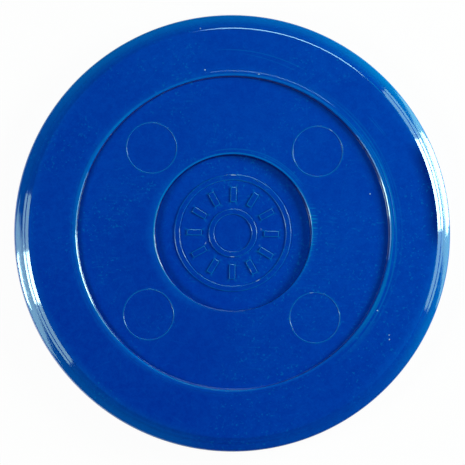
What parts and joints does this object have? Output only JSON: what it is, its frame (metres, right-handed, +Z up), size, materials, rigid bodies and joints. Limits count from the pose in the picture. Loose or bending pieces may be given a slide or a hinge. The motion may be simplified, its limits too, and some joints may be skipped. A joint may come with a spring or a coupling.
{
  "type": "air hockey puck",
  "caption": "Flat round game puck of glossy moulded plastic, with a two-facet rim, a flat sliding land and stepped round recesses in both faces.",
  "frame": {"origin": "centre of the lower land, the flat ring that the puck rests on", "axes": "+Z up along the axis of the disc, through the face with the ejector marks; the four marks lie on the diagonals between X and Y"},
  "size_m": [0.07, 0.07, 0.0048],
  "materials": {
    "blue_plastic": "moulded gloss, fine turning marks on the rim, light scuffs in the recess"
  },
  "bodies": {
    "root": {"puck": "blue_plastic"}
  },
  "joints": []
}
